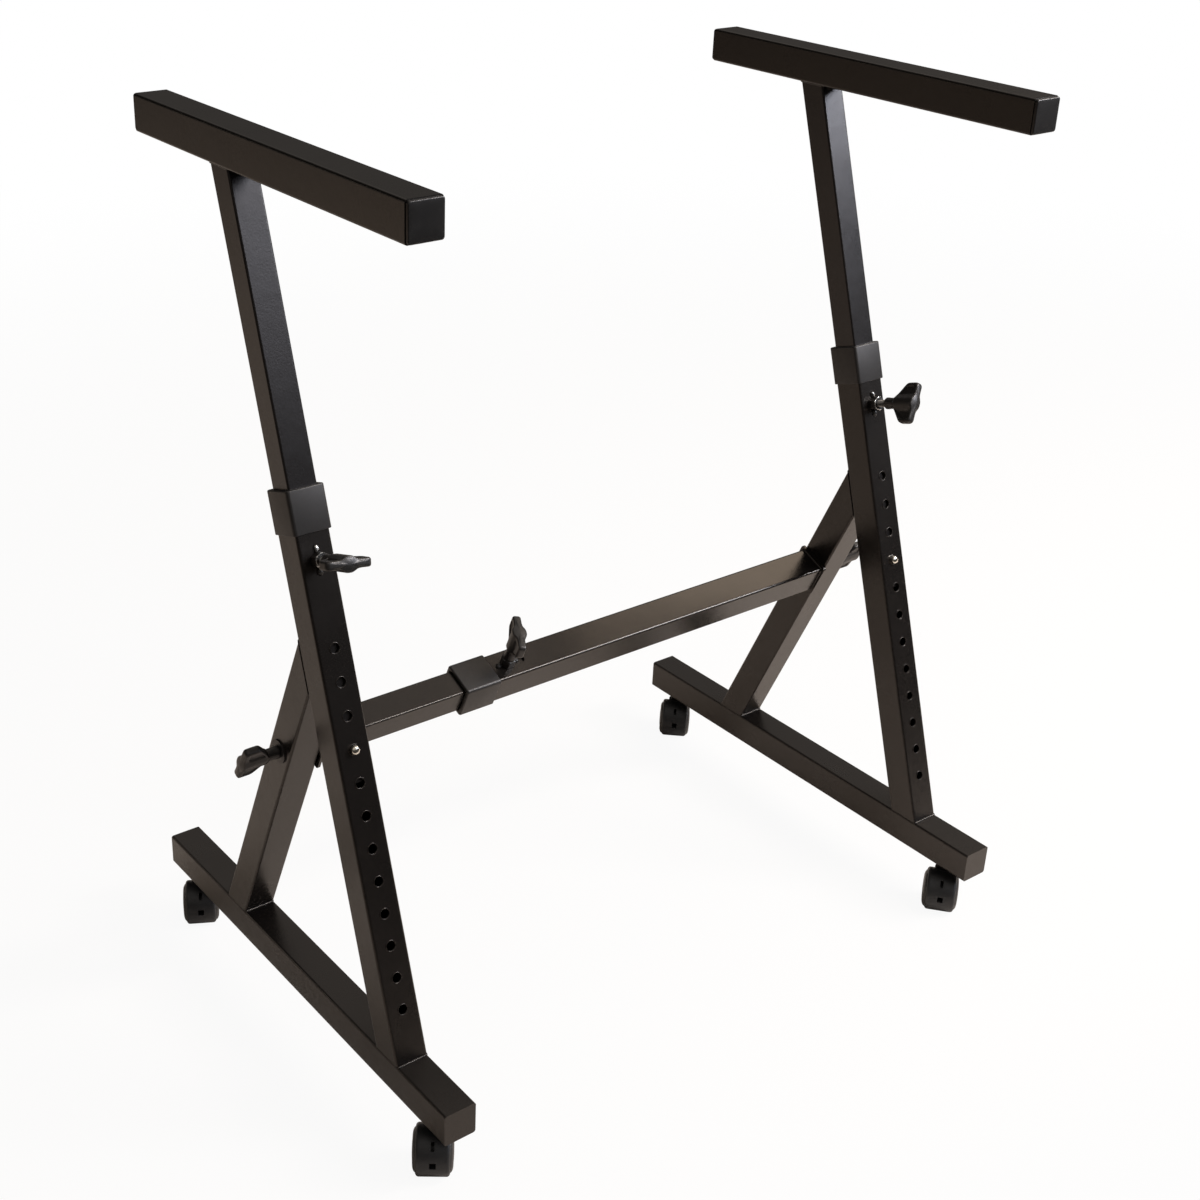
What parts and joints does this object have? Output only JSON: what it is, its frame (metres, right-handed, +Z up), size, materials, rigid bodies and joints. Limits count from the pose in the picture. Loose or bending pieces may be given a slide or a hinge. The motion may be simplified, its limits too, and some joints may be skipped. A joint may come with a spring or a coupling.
{
  "type": "keyboard stand",
  "caption": "Free-standing keyboard stand: two leaning telescopic side frames with level arms, joined by a telescopic crossbar, on swivel casters.",
  "frame": {"origin": "on the floor, midway between the two frames and midway along their base tubes", "axes": "+X to the player's right along the crossbar, +Y away from the player, +Z up"},
  "size_m": [0.8378, 0.54, 0.9231],
  "materials": {
    "powder_coat": "satin black powder coat",
    "black_plastic": "fine matt black",
    "hood_plastic": "dark grey satin",
    "wheel_plastic": "dark grey nylon",
    "zinc_steel": "zinc plated",
    "button_nickel": "bright nickel",
    "spring_steel": "hardened spring strip"
  },
  "bodies": {
    "left_frame": {"left_base_tube": "powder_coat", "left_base_plates": "powder_coat", "left_outer_upright": "powder_coat", "left_strut": "powder_coat", "left_height_collar": "black_plastic", "left_weld_nuts": "powder_coat", "left_strut_washer": "powder_coat", "crossbar_inner_tube": "powder_coat", "left_crossbar_plate": "powder_coat", "left_front_stem": "zinc_steel", "left_back_stem": "zinc_steel"},
    "right_frame": {"right_base_tube": "powder_coat", "right_base_plates": "powder_coat", "right_outer_upright": "powder_coat", "right_strut": "powder_coat", "right_height_collar": "black_plastic", "right_weld_nuts": "powder_coat", "right_strut_washer": "powder_coat", "crossbar_outer_tube": "powder_coat", "crossbar_sleeve": "black_plastic", "crossbar_nut": "powder_coat", "right_crossbar_plate": "powder_coat", "right_front_stem": "zinc_steel", "right_back_stem": "zinc_steel"},
    "left_upper": {"left_inner_upright": "powder_coat", "left_arm_tube": "powder_coat", "left_arm_caps": "black_plastic", "left_button_spring": "spring_steel"},
    "left_button_pin": {"left_button": "button_nickel"},
    "left_height_knob_screw": {"left_height_screw": "zinc_steel", "left_height_knob": "black_plastic"},
    "left_strut_knob_screw": {"left_strut_screw": "zinc_steel", "left_strut_knob": "black_plastic"},
    "right_upper": {"right_inner_upright": "powder_coat", "right_arm_tube": "powder_coat", "right_arm_caps": "black_plastic", "right_button_spring": "spring_steel"},
    "right_button_pin": {"right_button": "button_nickel"},
    "right_height_knob_screw": {"right_height_screw": "zinc_steel", "right_height_knob": "black_plastic"},
    "right_strut_knob_screw": {"right_strut_screw": "zinc_steel", "right_strut_knob": "black_plastic"},
    "crossbar_knob_screw": {"crossbar_screw": "zinc_steel", "crossbar_knob": "black_plastic"},
    "left_front_caster": {"left_front_hood": "hood_plastic", "left_front_axle": "zinc_steel"},
    "left_front_inner_wheel": {"left_front_wheel_inner": "wheel_plastic"},
    "left_front_outer_wheel": {"left_front_wheel_outer": "wheel_plastic"},
    "left_back_caster": {"left_back_hood": "hood_plastic", "left_back_axle": "zinc_steel"},
    "left_back_inner_wheel": {"left_back_wheel_inner": "wheel_plastic"},
    "left_back_outer_wheel": {"left_back_wheel_outer": "wheel_plastic"},
    "right_front_caster": {"right_front_hood": "hood_plastic", "right_front_axle": "zinc_steel"},
    "right_front_inner_wheel": {"right_front_wheel_inner": "wheel_plastic"},
    "right_front_outer_wheel": {"right_front_wheel_outer": "wheel_plastic"},
    "right_back_caster": {"right_back_hood": "hood_plastic", "right_back_axle": "zinc_steel"},
    "right_back_inner_wheel": {"right_back_wheel_inner": "wheel_plastic"},
    "right_back_outer_wheel": {"right_back_wheel_outer": "wheel_plastic"}
  },
  "joints": [
    {"name": "width_slide", "type": "slide", "parent": "left_frame", "child": "right_frame", "axis": [1, 0, 0], "range_m": [-0.155, 0.2]},
    {"name": "left_height_slide", "type": "slide", "parent": "left_frame", "child": "left_upper", "axis": [0, 0.309, 0.9511], "range_m": [-0.2576, 0.0966], "deforming": ["left_button"]},
    {"name": "left_button_press", "type": "slide", "parent": "left_upper", "child": "left_button_pin", "axis": [0, 0.9511, -0.309], "range_m": [0, 0.0078], "stiffness_N_per_m": 1500, "springref_m": -0.002, "deforming": ["left_button_spring"]},
    {"name": "left_height_knob_turn", "type": "hinge", "parent": "left_frame", "child": "left_height_knob_screw", "pos_m": [-0.3575, -0.03989, 0.5587], "axis": [0, -0.9511, 0.309], "range_deg": [0, 720]},
    {"name": "left_strut_knob_turn", "type": "hinge", "parent": "left_frame", "child": "left_strut_knob_screw", "pos_m": [-0.375, 0.01275, 0.33774], "axis": [-1, 0, 0], "range_deg": [0, 720]},
    {"name": "right_height_slide", "type": "slide", "parent": "right_frame", "child": "right_upper", "axis": [0, 0.309, 0.9511], "range_m": [-0.2576, 0.0966], "deforming": ["right_button"]},
    {"name": "right_button_press", "type": "slide", "parent": "right_upper", "child": "right_button_pin", "axis": [0, 0.9511, -0.309], "range_m": [0, 0.0078], "stiffness_N_per_m": 1500, "springref_m": -0.002, "deforming": ["right_button_spring"]},
    {"name": "right_height_knob_turn", "type": "hinge", "parent": "right_frame", "child": "right_height_knob_screw", "pos_m": [0.3575, -0.03989, 0.5587], "axis": [0, -0.9511, 0.309], "range_deg": [0, 720]},
    {"name": "right_strut_knob_turn", "type": "hinge", "parent": "right_frame", "child": "right_strut_knob_screw", "pos_m": [0.375, 0.01275, 0.33774], "axis": [1, 0, 0], "range_deg": [0, 720]},
    {"name": "crossbar_knob_turn", "type": "hinge", "parent": "right_frame", "child": "crossbar_knob_screw", "pos_m": [-0.108, 0.00574, 0.35377], "axis": [0, -0.4003, 0.9164], "range_deg": [0, 720]},
    {"name": "left_front_swivel", "type": "hinge", "parent": "left_frame", "child": "left_front_caster", "pos_m": [-0.3575, -0.227, 0.0577], "axis": [0, 0, 1], "continuous": true},
    {"name": "left_front_inner_roll", "type": "hinge", "parent": "left_front_caster", "child": "left_front_inner_wheel", "pos_m": [-0.35305, -0.24333, 0.0215], "axis": [0.809, -0.5878, 0], "continuous": true},
    {"name": "left_front_outer_roll", "type": "hinge", "parent": "left_front_caster", "child": "left_front_outer_wheel", "pos_m": [-0.37441, -0.22782, 0.0215], "axis": [0.809, -0.5878, 0], "continuous": true},
    {"name": "left_back_swivel", "type": "hinge", "parent": "left_frame", "child": "left_back_caster", "pos_m": [-0.3575, 0.24, 0.0577], "axis": [0, 0, 1], "continuous": true},
    {"name": "left_back_inner_roll", "type": "hinge", "parent": "left_back_caster", "child": "left_back_inner_wheel", "pos_m": [-0.35082, 0.22444, 0.0215], "axis": [0.8829, -0.4695, 0], "continuous": true},
    {"name": "left_back_outer_roll", "type": "hinge", "parent": "left_back_caster", "child": "left_back_outer_wheel", "pos_m": [-0.37413, 0.23684, 0.0215], "axis": [0.8829, -0.4695, 0], "continuous": true},
    {"name": "right_front_swivel", "type": "hinge", "parent": "right_frame", "child": "right_front_caster", "pos_m": [0.3575, -0.227, 0.0577], "axis": [0, 0, 1], "continuous": true},
    {"name": "right_front_inner_roll", "type": "hinge", "parent": "right_front_caster", "child": "right_front_inner_wheel", "pos_m": [0.35786, -0.24393, 0.0215], "axis": [0.6428, -0.766, 0], "continuous": true},
    {"name": "right_front_outer_roll", "type": "hinge", "parent": "right_front_caster", "child": "right_front_outer_wheel", "pos_m": [0.3409, -0.2237, 0.0215], "axis": [0.6428, -0.766, 0], "continuous": true},
    {"name": "right_back_swivel", "type": "hinge", "parent": "right_frame", "child": "right_back_caster", "pos_m": [0.3575, 0.24, 0.0577], "axis": [0, 0, 1], "continuous": true},
    {"name": "right_back_inner_roll", "type": "hinge", "parent": "right_back_caster", "child": "right_back_inner_wheel", "pos_m": [0.35992, 0.22324, 0.0215], "axis": [0.7314, -0.682, 0], "continuous": true},
    {"name": "right_back_outer_roll", "type": "hinge", "parent": "right_back_caster", "child": "right_back_outer_wheel", "pos_m": [0.34062, 0.24125, 0.0215], "axis": [0.7314, -0.682, 0], "continuous": true}
  ]
}
